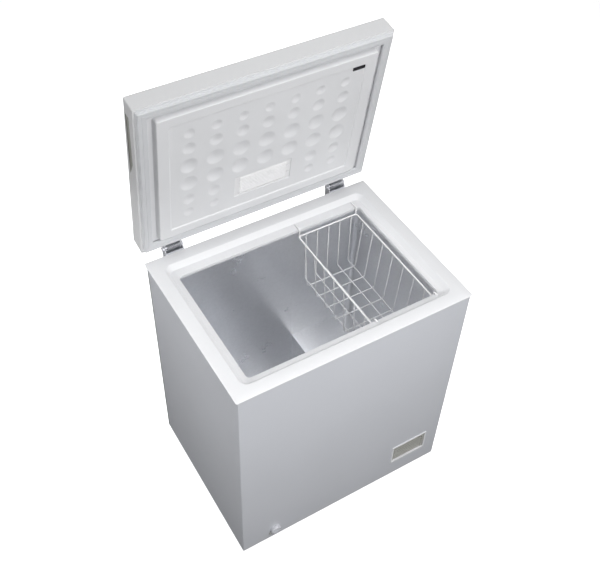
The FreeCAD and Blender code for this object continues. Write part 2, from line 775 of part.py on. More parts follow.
def hinge_pin():
    half = hinge_width / 2
    shank = disc_x(-half - 1.5, half + 1.5, pin_radius)
    heads = [disc_x(-half - 4, -half - 0.1, pin_radius + 2), disc_x(half + 0.1, half + 3, pin_radius + 1.5)]
    return joined([shank] + heads)


def hinge_spring():
    """Torsion spring round the pin, with a straight leg that bears on the bracket's web."""
    length = spring_pitch * spring_turns
    helix = Part.makeHelix(spring_pitch, length, spring_radius)
    start = V(spring_radius, 0, 0)
    climb = V(0, 1, spring_pitch / (2 * math.pi * spring_radius))
    ring = Part.Wire(Part.makeCircle(spring_wire / 2, start, climb))
    coil = Part.Wire(helix.Edges).makePipeShell([ring], True, True)
    coil.rotate(V(0, 0, 0), V(0, 1, 0), 90)
    coil.rotate(V(0, 0, 0), V(1, 0, 0), -90)
    coil.translate(V(-length / 2, pivot_y, pivot_z))
    end = V(length / 2, pivot_y - spring_radius, pivot_z)
    slant = V(climb.z, 0, -1).normalize()
    leg = cylinder(spring_wire / 2, end, end + slant * spring_leg)
    return coil.fuse(leg)


def hinge_leaf():
    """Bracket on the lid's back face, drawn with the lid shut; its ears turn on the pin."""
    low = rim_z + 6
    high = lid_top - 7
    base = box(-leaf_half, leaf_half, lid_back, lid_back + hinge_sheet, low, high)
    base = base.cut([cylinder(screw_radius + 0.2, p, p + V(0, -9, 0)) for p in leaf_screw_places()])
    top = V(0, lid_back + 5, high)
    tail = V(0, pivot_y + cover_reach, pivot_z)
    shape_yz = [(lid_back, low), (lid_back, high), (top.y, top.z), (tail.y, tail.z),
                (pivot_y, pivot_z - ear_radius), (pivot_y - ear_radius * 0.6, pivot_z - ear_radius * 0.6)]
    fall = (tail - top).normalize()
    inward = V(0, fall.z, -fall.y) * hinge_sheet
    cover = plate([top, tail, tail + inward, top + inward], V(-leaf_half, 0, 0), V(2 * leaf_half, 0, 0))
    near = tail - fall * slot_from
    far = tail - fall * slot_to
    slot = plate([near - inward, far - inward, far + 2 * inward, near + 2 * inward], V(-slot_half, 0, 0), V(2 * slot_half, 0, 0))
    cover = cover.cut(slot)
    pieces = [base, cover]
    for side in (-1, 1):
        x0 = -leaf_half if side < 0 else leaf_half - hinge_sheet
        ear = plate([V(0, y, z) for y, z in shape_yz], V(x0, 0, 0), V(hinge_sheet, 0, 0))
        pieces += [ear, disc_x(x0, x0 + hinge_sheet, ear_radius)]
    bore = disc_x(-leaf_half - 1, leaf_half + 1, pin_radius + pin_clear)
    return joined(pieces).cut(bore)


def leaf_screw_places():
    return screw_grid(lid_back + hinge_sheet, rim_z + 14, lid_top - 14, 14)


def leaf_screw_holes():
    holes = screw_holes(leaf_screw_places(), V(0, -1, 0), 12)
    return [one for hole in holes for one in at_hinges(hole)]


def at_hinges(shape):
    return [shape.translated(V(side * hinge_offset, 0, 0)) for side in (-1, 1)]


# ------------------------------------------------------------------ lid
half_lw = frame_x - lid_inset_x
half_ld = frame_y - lid_inset_y
plateau_x = half_lw - plateau_margin_x
plateau_y = half_ld - plateau_margin_y
field_x = plateau_x - field_margin_x
field_y = plateau_y - field_margin_y
plateau_z = rim_z - plateau_depth
field_z = plateau_z + field_depth
panel_top = rim_z + lid_wall + panel_wall

dimple_columns = 7
dimple_pitch_x = 2 * field_x / (dimple_columns + 0.5)
dimple_rows = ((33.2, 25.0), (96.0, 18.5), (147.5, 14.5))    # row offset from the middle, radius
dimple_depth_share = 0.22
dimple_shift_y = -3.0

pan_half = 88.0
pan_y0 = 77.0
pan_y1 = 152.0
pan_depth = 9.0
pan_radius = 4.0

grip_front = 224.0            # forward end of the side grip, from the lid's middle
grip_full = 70.0
grip_tip = 22.0
grip_low = 17.0
grip_high = 42.0
grip_depth = 3.5
grip_wall = 1.5


def dimples(extra):
    """Round hollows pressed into the inner panel, as caps grown by the wall thickness."""
    made = []
    for column in range(dimple_columns):
        x = (column - (dimple_columns - 1) / 2) * dimple_pitch_x
        for offset, radius in dimple_rows:
            for side in (-1, 1):
                y = dimple_shift_y + side * offset
                over_pan = abs(x) - radius < pan_half + 3 and pan_y0 - 3 < y + radius and y - radius < pan_y1 + 3
                if over_pan:
                    continue
                depth = radius * dimple_depth_share
                ball = (radius * radius + depth * depth) / (2 * depth)
                centre = V(x, y, field_z + depth - ball)
                sphere = Part.makeSphere(ball + extra, centre)
                reach = radius + 6
                made.append(sphere.common(box(x - reach, x + reach, y - reach, y + reach, field_z - 0.5, field_z + 40)))
    return made


def grip_shape(grow, depth):
    """Side grip's tapered outline on the lid's left face, pushed into the lid."""
    points = [(-grip_front - grow, grip_low + 7 - grow), (-grip_full, grip_low - grow), (-grip_tip + 3 * grow, grip_high - 6),
              (-grip_full, grip_high - 4 + grow), (-grip_front - grow, grip_high + 2 + grow)]
    return plate([V(0, y, rim_z + z) for y, z in points], V(-half_lw, 0, 0), V(depth, 0, 0))


def lid_outer_shell():
    outer = slab(-half_lw, half_lw, -half_ld, half_ld, lid_radius, rim_z, lid_top)
    upper = [e for e in outer.Edges if e.BoundBox.ZMin > lid_top - 0.01]
    outer = outer.makeFillet(lid_edge, upper)
    w = lid_wall
    room = slab(-half_lw + w, half_lw - w, -half_ld + w, half_ld - w, lid_radius - w, rim_z + w, lid_top - w)
    room_top = [e for e in room.Edges if e.BoundBox.ZMin > lid_top - w - 0.01]
    room = room.makeFillet(lid_edge - w, room_top)
    r = rim_return
    mouth = box(-half_lw + r, half_lw - r, -half_ld + r, half_ld - r, rim_z, rim_z + w)
    grips = both_sides(grip_shape(0, grip_depth))
    return outer.cut([room, mouth] + grips + leaf_screw_holes())


def lid_side_grips():
    cup = grip_shape(0, grip_depth).cut(grip_shape(-grip_wall, grip_depth - grip_wall))
    return both_sides(cup)


def panel_cavity():
    """Space above the inner panel, inside its raised middle."""
    t = panel_wall
    room = slab(-plateau_x + t, plateau_x - t, -plateau_y + t, plateau_y - t, plateau_radius - t, plateau_z + t, panel_top)
    field = slab(-field_x - t, field_x + t, -field_y - t, field_y + t, field_radius + t, plateau_z, field_z + t)
    pan = slab(-pan_half - t, pan_half + t, pan_y0 - t, pan_y1 + t, pan_radius + t, plateau_z, field_z + pan_depth + t)
    return room.cut([field, pan]).cut(dimples(t))


def lid_inner_panel(cavity):
    w = lid_wall
    flange = slab(-half_lw + w, half_lw - w, -half_ld + w, half_ld - w, lid_radius - w, rim_z + w, panel_top)
    raised = slab(-plateau_x, plateau_x, -plateau_y, plateau_y, plateau_radius, plateau_z, panel_top)
    field = slab(-field_x, field_x, -field_y, field_y, field_radius, plateau_z - 1, field_z)
    pan = slab(-pan_half, pan_half, pan_y0, pan_y1, pan_radius, field_z - 1, field_z + pan_depth)
    solid = flange.fuse(raised).cut([cavity, field, pan]).cut(dimples(0))
    return solid.removeSplitter()


def lid_foam(cavity):
    w = lid_wall
    room = slab(-half_lw + w, half_lw - w, -half_ld + w, half_ld - w, lid_radius - w, panel_top, lid_top - w)
    room_top = [e for e in room.Edges if e.BoundBox.ZMin > lid_top - w - 0.01]
    room = room.makeFillet(lid_edge - w, room_top)
    room = room.fuse(cavity).removeSplitter()
    return room.cut(both_sides(grip_shape(0, grip_depth)) + leaf_screw_holes())


def lid_gasket():
    """Four mitred lengths of ribbed seal."""
    x1 = half_lw - gasket_inset
    y1 = half_ld - gasket_inset
    low = ledge_z + gasket_clear
    groove = 2.4
    ribs = (0.24, 0.5, 0.76)

    def ring(inset, width, z0, z1):
        outer = box(-x1 + inset, x1 - inset, -y1 + inset, y1 - inset, z0, z1)
        inner_edge = inset + width
        return outer.cut(box(-x1 + inner_edge, x1 - inner_edge, -y1 + inner_edge, y1 - inner_edge, z0, z1))

    seal = ring(0, gasket_width, low, rim_z)
    cuts = [ring(gasket_width * share - groove / 2, groove, low, low + 3.2) for share in ribs]
    cuts.append(ring(-1, 3.0, low + 5.0, low + 7.2))
    cuts.append(ring(gasket_width - 2.0, 3.0, low + 5.0, low + 7.2))
    root = ring(rim_return - gasket_inset, gasket_width - rim_return + gasket_inset, rim_z, rim_z + lid_wall)
    seal = seal.cut(cuts).fuse(root)
    far = x1 + 200
    deep = x1 - y1 + far
    wedge_y = plate([V(0, -y1 + x1, 0), V(far, -y1 + x1 - far, 0), V(-far, -y1 + x1 - far, 0)], V(0, 0, low - 5), V(0, 0, 60))
    front = seal.common(wedge_y)
    back = seal.common(wedge_y.mirror(V(0, 0, 0), V(0, 1, 0)))
    sides = seal.cut([wedge_y, wedge_y.mirror(V(0, 0, 0), V(0, 1, 0))])
    return [front, back] + sides.Solids


rib_count = 9


def lamp_cover():
    """Ribbed lens sunk in the panel's pan."""
    margin = 0.8
    x1 = pan_half - margin
    y0 = pan_y0 + margin
    y1 = pan_y1 - margin
    base_z = field_z + 2.5
    pieces = [slab(-x1, x1, y0, y1, 3, base_z, base_z + 1.6)]
    rib_half = x1 - 20
    pitch = (y1 - y0 - 10) / rib_count
    for i in range(rib_count):
        y = y0 + 5 + pitch * (i + 0.5)
        pieces.append(box(-rib_half, rib_half, y - pitch * 0.25, y + pitch * 0.25, base_z - 2.2, base_z))
    return joined(pieces)


def lamp_board():
    z = field_z + pan_depth - 3
    board = box(-60, 60, pan_y0 + 12, pan_y1 - 12, z, z + 1.6)
    chips = [box(x - 2.5, x + 2.5, y - 2.5, y + 2.5, z - 1, z) for x in (-45, -15, 15, 45)
             for y in (pan_y0 + 26, pan_y1 - 26)]
    return joined([board] + chips)


badge_length = 38.0
badge_width = 12.0


def badge_plate():
    x1 = field_x - 2.0
    y0 = -field_y + 2.5
    return slab(x1 - badge_length, x1, y0, y0 + badge_width, 2, field_z - 1, field_z)


# ------------------------------------------------------------------ basket
rim_x1 = open_x - basket_side_gap
rim_x0 = rim_x1 - basket_length
rim_y0 = open_front + basket_end_gap
rim_y1 = open_back - basket_end_gap
rim_mid = (rim_y0 + rim_y1) / 2
hook_z = shelf_z + hook_clear + rim_wire / 2
rim_level = hook_z - 27.0
basket_low = rim_level - basket_depth
weld = 0.4                    # how far crossing wires sink into each other


def basket_rim():
    corners = [V(rim_x0, rim_y0, rim_level), V(rim_x1, rim_y0, rim_level), V(rim_x1, rim_y1, rim_level), V(rim_x0, rim_y1, rim_level)]
    return rod(corners, rim_wire / 2, 9, closed=True)


def basket_long_wires():
    """Wires that run front to back under the load."""
    top = rim_level - rim_wire / 2 + weld
    made = []
    for i in range(long_count):
        x = rim_x1 - long_inset - i * long_pitch
        points = [V(x, rim_y0, top), V(x, rim_y0 + end_draft, basket_low), V(x, rim_y1 - end_draft, basket_low), V(x, rim_y1, top)]
        made.append(rod(points, grid_wire / 2, 9))
    return made


def basket_cross_wires():
    """Wires that run left to right, laid on the lengthwise ones."""
    top = rim_level - rim_wire / 2 + weld
    low = basket_low + grid_wire - weld
    made = []
    for i in range(cross_count):
        y = rim_mid + (i - (cross_count - 1) / 2) * cross_pitch
        points = [V(rim_x0, y, top), V(rim_x0 + side_draft, y, low), V(rim_x1 - side_draft, y, low), V(rim_x1, y, top)]
        made.append(rod(points, grid_wire / 2, 9))
    return made


def basket_hooks():
    made = []
    top = hook_z
    start = rim_level + rim_wire / 2 - weld
    for x in (rim_x0 + 3, rim_x1 - 3):
        for edge, outward, reach in ((rim_y0, -1, shelf_front), (rim_y1, 1, shelf_back)):
            tip = edge + outward * (basket_end_gap + reach - 4)
            points = [V(x, edge, start), V(x, edge, top), V(x, tip, top)]
            made.append(rod(points, rim_wire / 2, 5))
    return made


# ------------------------------------------------------------------ build
keep("front_panel", front_panel())
keep("left_panel", left_panel())
keep("right_panel", right_panel())
keep("rear_panel", rear_panel())
keep("base_plate", base_plate())
keep("feet", feet())
keep("top_frame", top_frame())
liner_pieces()
keep("evaporator_tube", evaporator_tube())
keep("condenser_tubes", [condenser_tube(-1, base_top + 90), condenser_tube(1, bay_z + 40)])
keep("cabinet_foam", cabinet_foam())
keep("bay_lining", [bay_wall(), bay_roof()])
keep("compressor_shell", compressor_shell())
keep("compressor_mount_plate", compressor_mount_plate())
keep("compressor_bushes", compressor_bushes())
keep("compressor_bolts", compressor_bolts())
keep("compressor_terminal_cover", compressor_terminal_cover())
keep("filter_drier", filter_drier())
keep("suction_line", suction_line())
keep("discharge_line", discharge_line())
keep("capillary_tube", capillary_tube())
keep("rear_grille", rear_grille())
keep("grille_screws", grille_screws())
keep("cord_gland", cord_gland())
keep("vent_bezel", vent_bezel())
keep("vent_louvre", vent_louvre())
keep("control_bezel", control_bezel())
keep("thermostat_knob", thermostat_knob())
keep("thermostat_body", thermostat_body())
keep("indicator_lenses", indicator_lenses())
keep("drain_tube", drain_tube())
keep("drain_cap", drain_cap())
keep("drain_plug", drain_plug())
keep("blanking_plug", blanking_plug())

keep("hinge_brackets", at_hinges(hinge_bracket()))
keep("hinge_pins", at_hinges(hinge_pin()))
keep("hinge_springs", at_hinges(hinge_spring()))
keep("hinge_leaves", [opened(leaf) for leaf in at_hinges(hinge_leaf())])
bracket_screws = screws(bracket_screw_places(), V(0, -1, 0), 12)
keep("hinge_bracket_screws", [s for one in bracket_screws for s in at_hinges(one)])
leaf_screws = screws(leaf_screw_places(), V(0, -1, 0), 12)
keep("hinge_leaf_screws", [opened(s) for one in leaf_screws for s in at_hinges(one)])

cavity = panel_cavity()
keep("lid_outer_shell", opened(lid_outer_shell()))
keep("lid_inner_panel", opened(lid_inner_panel(cavity)))
keep("lid_foam", opened(lid_foam(cavity)))
keep("lid_gasket", [opened(s) for s in lid_gasket()])
keep("lid_side_grips", [opened(s) for s in lid_side_grips()])
keep("lamp_cover", opened(lamp_cover()))
keep("lamp_board", opened(lamp_board()))
keep("badge_plate", opened(badge_plate()))

keep("basket_rim", basket_rim())
keep("basket_long_wires", basket_long_wires())
keep("basket_cross_wires", basket_cross_wires())
keep("basket_hooks", basket_hooks())

# the open lid reaches furthest back at its rounded upper edge, and the drain cap furthest forward
open_angle = math.radians(hinge_turn)
edge_y = half_ld - lid_edge - pivot_y
edge_z = lid_top - lid_edge - pivot_z
back_reach = pivot_y + edge_y * math.cos(open_angle) + edge_z * math.sin(open_angle) + lid_edge
front_reach = -half_d - drain_cap_seat - drain_cap_disc - drain_cap_grip
centring = V(0, -(back_reach + front_reach) / 2, 0)

os.makedirs(PARTS, exist_ok=True)
for name, shapes in nodes.items():
    solids = [solid.translated(centring) for shape in shapes for solid in shape.Solids]
    shape = solids[0] if len(solids) == 1 else Part.makeCompound(solids)
    for solid in solids:
        if not solid.isValid() or solid.Volume <= 0:
            print("NOT SOUND", name, solid.Volume)
    shape.exportStep(os.path.join(PARTS, name + ".step"))
    box_of = shape.BoundBox
    print("%-26s %2d solid(s) %12.1f mm3  z %.1f to %.1f" % (name, len(solids), shape.Volume, box_of.ZMin, box_of.ZMax))

places = {"cabinet middle": V(0, 0, 0), "hinge pin": V(0, pivot_y, pivot_z), "knob": knob_at, "gland": gland_at,
          "drain": V(drain_x, -half_d, drain_z), "floor drain": V(drain_x, plug_y, floor_z),
          "foot": V(-(half_w - foot_inset), -(half_d - foot_inset), 0)}
for name, place in places.items():
    at = place + centring
    print("%-16s %.3f %.3f %.3f" % (name, at.x, at.y, at.z))
basket_travel = rim_x0 + open_x - basket_side_gap
print("basket travel %.2f, opening x %.2f, y %.2f to %.2f, step x %.2f z %.2f, floor z %.2f"
      % (basket_travel, open_x, open_front + centring.y, open_back + centring.y, step_x, step_z, floor_z))
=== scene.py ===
import json
import math

import bpy
import numpy as np
from mathutils import Matrix, Vector

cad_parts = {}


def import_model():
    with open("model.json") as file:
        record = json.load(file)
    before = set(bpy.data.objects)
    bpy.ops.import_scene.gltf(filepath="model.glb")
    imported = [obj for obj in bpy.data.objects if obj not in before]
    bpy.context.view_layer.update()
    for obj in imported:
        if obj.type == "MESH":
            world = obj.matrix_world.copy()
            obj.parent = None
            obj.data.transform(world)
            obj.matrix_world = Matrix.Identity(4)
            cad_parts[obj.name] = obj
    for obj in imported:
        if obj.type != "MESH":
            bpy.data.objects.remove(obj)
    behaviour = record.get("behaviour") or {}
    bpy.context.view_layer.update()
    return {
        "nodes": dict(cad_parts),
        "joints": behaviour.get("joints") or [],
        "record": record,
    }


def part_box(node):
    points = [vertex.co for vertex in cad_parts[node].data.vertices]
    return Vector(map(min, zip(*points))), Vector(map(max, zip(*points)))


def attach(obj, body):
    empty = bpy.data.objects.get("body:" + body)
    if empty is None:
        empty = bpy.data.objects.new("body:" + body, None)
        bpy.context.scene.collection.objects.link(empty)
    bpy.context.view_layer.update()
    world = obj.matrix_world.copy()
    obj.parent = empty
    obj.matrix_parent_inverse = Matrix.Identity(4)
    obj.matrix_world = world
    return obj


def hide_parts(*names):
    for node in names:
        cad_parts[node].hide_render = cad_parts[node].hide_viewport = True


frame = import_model()

MM = 0.001


# ------------------------------------------------------------------ places read from the frame
base_low, base_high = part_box("base_plate")
rim_low, rim_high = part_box("top_frame")
mid_y = (base_low.y + base_high.y) / 2
ledge_z = rim_high.z
joint = {j["name"]: j for j in frame["joints"]}
hinge_at = Vector(joint["lid_hinge"]["pos_m"])
shut_angle = math.radians(joint["lid_hinge"]["range_deg"][0])
open_turn = (Matrix.Translation(hinge_at) @ Matrix.Rotation(-shut_angle, 4, Vector((-1, 0, 0)))
             @ Matrix.Translation(-hinge_at))


# ------------------------------------------------------------------ mesh helpers
def new_object(name, points, faces, smooth=True):
    mesh = bpy.data.meshes.new(name)
    mesh.from_pydata([tuple(p) for p in points], [], faces)
    mesh.update()
    mesh.polygons.foreach_set("use_smooth", [smooth] * len(mesh.polygons))
    made = bpy.data.objects.new(name, mesh)
    bpy.context.scene.collection.objects.link(made)
    return made


def rounded_ring(x, y_front, y_back, radius, z, per_corner=8):
    """Points of a rounded rectangle in a level plane, anticlockwise from the front right corner."""
    points = []
    corners = (
        (x, y_front, 1, -1, -90),
        (x, y_back, 1, 1, 0),
        (-x, y_back, -1, 1, 90),
        (-x, y_front, -1, -1, 180),
    )
    for cx, cy, sx, sy, start in corners:
        for i in range(per_corner + 1):
            angle = math.radians(start + 90 * i / per_corner)
            px = cx - sx * radius + radius * math.cos(angle)
            py = cy - sy * radius + radius * math.sin(angle)
            points.append((px, py, z))
    return points


def soften(rings, reach, steps=4):
    """Round each ring where the profile turns, over a given distance along the profile."""
    keys = [np.array(r, float) for r in rings]
    out = []
    count = len(keys)
    for i, key in enumerate(keys):
        before, after = keys[i - 1], keys[(i + 1) % count]
        share_in = min(0.45, reach / max(np.linalg.norm(before - key), 1e-9))
        share_out = min(0.45, reach / max(np.linalg.norm(after - key), 1e-9))
        start = key + (before - key) * share_in
        end = key + (after - key) * share_out
        for k in range(steps + 1):
            t = k / steps
            out.append((1 - t) ** 2 * start + 2 * t * (1 - t) * key + t * t * end)
    return out


def loft(name, rings):
    """Skin through rings of equal point count; the last ring joins the first."""
    count = len(rings[0])
    points = [p for ring in rings for p in ring]
    faces = []
    for i in range(len(rings)):
        j = (i + 1) % len(rings)
        for k in range(count):
            m = (k + 1) % count
            faces.append((i * count + k, i * count + m, j * count + m, j * count + k))
    return new_object(name, points, faces)


def grid_faces(rows, cols):
    """Quads over points listed row by row."""
    faces = []
    for j in range(rows - 1):
        for i in range(cols - 1):
            a = j * cols + i
            faces.append((a, a + cols, a + cols + 1, a + 1))
    return faces


def on_lid(x, y, z):
    """Point given on the shut lid, from the cabinet's middle, moved to the open rest pose."""
    return open_turn @ Vector((x, y + mid_y, z))


def bend_path(points, bend, steps=6, closed=False):
    """Straight runs with rounded corners, as a list of points."""
    pts = [Vector(p) for p in points]
    n = len(pts)
    out = []
    for i in range(n):
        if not closed and i in (0, n - 1):
            out.append(pts[i])
            continue
        back = (pts[i - 1] - pts[i]).normalized()
        ahead = (pts[(i + 1) % n] - pts[i]).normalized()
        turn = math.pi - back.angle(ahead)
        trim = bend * math.tan(turn / 2)
        for k in range(steps + 1):
            t = k / steps
            out.append(pts[i] + back * (trim * (1 - t) ** 2) + ahead * (trim * t * t))
    return out


def sweep(path, radius, closed=False, sides=14):
    """Points and faces of a round wire along a path, with rounded ends."""
    n = len(path)
    points, faces = [], []
    normal = None
    rings = []
    for i in range(n):
        before = path[i - 1] if (i > 0 or closed) else path[i]
        after = path[(i + 1) % n] if (i < n - 1 or closed) else path[i]
        along = (after - before).normalized()
        if normal is None:
            helper = Vector((0, 0, 1)) if abs(along.z) < 0.9 else Vector((1, 0, 0))
            normal = (helper - along * helper.dot(along)).normalized()
        else:
            normal = (normal - along * normal.dot(along)).normalized()
        rings.append((path[i], along, normal, radius))
    if not closed:
        first, last = rings[0], rings[-1]
        dome = [(0.175, 0.94), (0.375, 0.66), (0.485, 0.25)]     # reach and width, in radii
        head = [(first[0] - first[1] * radius * reach, first[1], first[2], radius * width)
                for reach, width in dome[::-1]]
        tail = [(last[0] + last[1] * radius * reach, last[1], last[2], radius * width)
                for reach, width in dome]
        rings = head + rings + tail
    for at, along, norm, r in rings:
        side = along.cross(norm)
        for k in range(sides):
            angle = 2 * math.pi * k / sides
            points.append(at + norm * (r * math.cos(angle)) + side * (r * math.sin(angle)))
    count = len(rings)
    for i in range(count if closed else count - 1):
        j = (i + 1) % count
        for k in range(sides):
            m = (k + 1) % sides
            faces.append((i * sides + k, i * sides + m, j * sides + m, j * sides + k))
    if not closed:
        faces.append(tuple(range(sides))[::-1])
        faces.append(tuple((count - 1) * sides + k for k in range(sides)))
    return points, faces


def merge(name, parts):
    """One object from several lists of points and faces."""
    points, faces = [], []
    for part_points, part_faces in parts:
        offset = len(points)
        points += list(part_points)
        faces += [tuple(offset + k for k in face) for face in part_faces]
    return new_object(name, points, faces)


# ------------------------------------------------------------------ materials
def finish(name, colour, rough, metal=0.0, grain=900.0, relief=0.00005, patch=9.0, drift=0.04,
           speckle=0.03, rough_drift=0.06, coat=0.0, edge=0.0006):
    """Procedural surface: slow drift and fine speckle in colour and gloss, fine relief, soft edges."""
    mat = bpy.data.materials.new(name)
    mat.use_nodes = True
    nodes, links = mat.node_tree.nodes, mat.node_tree.links
    nodes.clear()
    out = nodes.new("ShaderNodeOutputMaterial")
    shader = nodes.new("ShaderNodeBsdfPrincipled")
    links.new(shader.outputs["BSDF"], out.inputs["Surface"])
    shader.inputs["Metallic"].default_value = metal
    shader.inputs["Coat Weight"].default_value = coat
    shader.inputs["Coat Roughness"].default_value = 0.12
    where = nodes.new("ShaderNodeTexCoord").outputs["Object"]

    def noise(scale, detail):
        made = nodes.new("ShaderNodeTexNoise")
        made.inputs["Scale"].default_value = scale
        made.inputs["Detail"].default_value = detail
        made.inputs["Roughness"].default_value = 0.55
        links.new(where, made.inputs["Vector"])
        return made.outputs["Fac"]

    def remap(value, low, high):
        made = nodes.new("ShaderNodeMapRange")
        made.inputs["From Min"].default_value = 0.25
        made.inputs["From Max"].default_value = 0.75
        made.inputs["To Min"].default_value = low
        made.inputs["To Max"].default_value = high
        links.new(value, made.inputs["Value"])
        return made.outputs["Result"]

    slow = noise(patch, 3.0)
    fine = noise(grain, 2.0)
    gloss = noise(patch * 3.1, 4.0)
    value = nodes.new("ShaderNodeMath")
    value.operation = "MULTIPLY"
    links.new(remap(slow, 1 - drift, 1 + drift), value.inputs[0])
    links.new(remap(fine, 1 - speckle, 1 + speckle), value.inputs[1])
    shade = nodes.new("ShaderNodeVectorMath")
    shade.operation = "SCALE"
    shade.inputs[0].default_value = colour
    links.new(value.outputs["Value"], shade.inputs["Scale"])
    links.new(shade.outputs["Vector"], shader.inputs["Base Color"])
    links.new(remap(gloss, rough - rough_drift, rough + rough_drift), shader.inputs["Roughness"])
    bump = nodes.new("ShaderNodeBump")
    bump.inputs["Strength"].default_value = 0.6
    bump.inputs["Distance"].default_value = relief
    links.new(fine, bump.inputs["Height"])
    if edge:
        soft = nodes.new("ShaderNodeBevel")
        soft.samples = 4
        soft.inputs["Radius"].default_value = edge
        links.new(soft.outputs["Normal"], bump.inputs["Normal"])
    links.new(bump.outputs["Normal"], shader.inputs["Normal"])
    return mat


surfaces = {
    "silver_steel": finish(
        "silver_paint", (0.62, 0.635, 0.675), 0.42, metal=0.2, grain=2600, relief=0.00002,
        patch=2.0, drift=0.02, speckle=0.05, rough_drift=0.04, coat=0.15
    ),
    "rear_steel": finish(
        "rear_paint", (0.40, 0.41, 0.42), 0.5, metal=0.2, grain=1800, relief=0.00003, drift=0.03
    ),
    "white_steel": finish(
        "white_paint", (0.72, 0.725, 0.735), 0.38, grain=700, relief=0.00002, patch=3, drift=0.01,
        speckle=0.01, coat=0.1
    ),
    "galvanised_steel": finish(
        "galvanised", (0.52, 0.54, 0.56), 0.45, metal=0.9, grain=120, relief=0.00002, patch=45,
        drift=0.14, speckle=0.06, rough_drift=0.12
    ),
    "zinc_steel": finish(
        "zinc_plate", (0.70, 0.71, 0.75), 0.36, metal=0.45, grain=900, drift=0.06, speckle=0.05
    ),
    "spring_steel": finish(
        "spring_steel", (0.50, 0.51, 0.54), 0.35, metal=0.6, grain=700, drift=0.08, speckle=0.08
    ),
    "black_enamel": finish(
        "black_enamel", (0.012, 0.012, 0.013), 0.3, grain=500, relief=0.00008, coat=0.3
    ),
    "liner_aluminium": finish(
        "liner_aluminium", (0.86, 0.87, 0.895), 0.30, metal=0.9, grain=120, relief=0.00005,
        patch=4, drift=0.03, speckle=0.03, rough_drift=0.04, edge=0
    ),
    "tube_aluminium": finish(
        "tube_aluminium", (0.66, 0.66, 0.67), 0.35, metal=0.95, grain=400
    ),
    "tube_copper": finish(
        "tube_copper", (0.62, 0.27, 0.15), 0.33, metal=0.95, grain=300, drift=0.12, speckle=0.08
    ),
    "foam": finish(
        "foam", (0.78, 0.66, 0.36), 0.9, grain=450, relief=0.0006, patch=20, drift=0.1,
        speckle=0.12
    ),
    "white_plastic": finish(
        "white_plastic", (0.73, 0.735, 0.75), 0.42, grain=1500, relief=0.00003, patch=5,
        drift=0.01, speckle=0.012
    ),
    "silver_plastic": finish(
        "silver_plastic", (0.50, 0.51, 0.54), 0.35, grain=1500, relief=0.00003, drift=0.02
    ),
    "grey_plastic": finish(
        "grey_plastic", (0.34, 0.34, 0.315), 0.5, grain=1400, relief=0.00006, drift=0.04
    ),
    "black_plastic": finish(
        "black_plastic", (0.02, 0.02, 0.022), 0.55, grain=1200, relief=0.00008
    ),
    "lamp_plastic": finish(
        "lamp_plastic", (0.80, 0.80, 0.81), 0.3, grain=900, relief=0.00002, coat=0.2
    ),
    "green_lens": finish(
        "green_lens", (0.05, 0.35, 0.09), 0.15, grain=300, relief=0.00001, coat=0.6
    ),
    "dark_badge": finish(
        "badge_lacquer", (0.03, 0.03, 0.035), 0.22, grain=900, relief=0.00001, coat=0.4
    ),
    "white_rubber": finish(
        "seal_rubber", (0.62, 0.63, 0.65), 0.6, grain=1600, relief=0.00004, drift=0.02
    ),
    "black_rubber": finish(
        "black_rubber", (0.018, 0.018, 0.018), 0.75, grain=800, relief=0.0001
    ),
    "coated_wire": finish(
        "coated_wire", (0.82, 0.82, 0.83), 0.28, grain=500, relief=0.00004, coat=0.35, edge=0
    ),
}
slot_of = {part["node"]: part["material_slot"] for part in frame["record"]["subparts"]}
for name, node in frame["nodes"].items():
    for place in node.material_slots:
        place.material = surfaces[slot_of[name]]


def dress(piece, body, slot, *stands_for):
    piece.data.materials.append(surfaces[slot])
    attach(piece, body)
    if stands_for:
        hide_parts(*stands_for)
    return piece


# ------------------------------------------------------------------ top frame, one soft-edged moulding
outer_x = rim_high.x
outer_y = rim_high.y - mid_y
flange = 2.5 * MM
ledge_x, ledge_y = 39.0 * MM, 38.5 * MM
slope_run, slope_drop = 13.0 * MM, 14.9 * MM
shelf_x, shelf_front, shelf_back, shelf_drop = 15.0 * MM, 14.2 * MM, 26.2 * MM, 1.5 * MM
lip_wall = 2.5 * MM
rim_radius = 4.0 * MM
open_radius = 12.0 * MM
slope_radius = open_radius + slope_run
back_radius = open_radius + lip_wall


def frame_ring(inset_x, inset_front, inset_back, radius, z):
    """Rounded rectangle set in from the frame's edge, as half width, front, back, radius and height."""
    return (outer_x - inset_x, -(outer_y - inset_front), outer_y - inset_back, radius, z)


slope_low = (ledge_x + slope_run, ledge_y + slope_run, ledge_y + slope_run)
mouth = (slope_low[0] + shelf_x, slope_low[1] + shelf_front, slope_low[2] + shelf_back)
shelf_z = ledge_z - slope_drop
slope_back = [m - lip_wall for m in slope_low]
mouth_back = [m - lip_wall for m in mouth]
top_keys = [
    frame_ring(0, 0, 0, rim_radius, ledge_z - flange),
    frame_ring(0, 0, 0, rim_radius, ledge_z),
    frame_ring(ledge_x, ledge_y, ledge_y, slope_radius, ledge_z),
    frame_ring(*slope_low, open_radius, shelf_z),
    frame_ring(*mouth, open_radius, shelf_z - shelf_drop),
    frame_ring(*mouth, open_radius, rim_low.z),
    frame_ring(*mouth_back, back_radius, rim_low.z),
    frame_ring(*mouth_back, back_radius, shelf_z - shelf_drop - lip_wall),
    frame_ring(*slope_back, back_radius, shelf_z - lip_wall),
    frame_ring(ledge_x - lip_wall, ledge_y - lip_wall, ledge_y - lip_wall, slope_radius, ledge_z - flange),
]
edge_softness = 1.1 * MM
soft_keys = soften(top_keys, edge_softness, 3)
top_rings = []
for key in soft_keys:
    top_rings.append([(x, y + mid_y, z) for x, y, z in rounded_ring(*key, per_corner=10)])
dress(loft("top_frame_moulding", top_rings), "cabinet", "white_plastic", "top_frame")


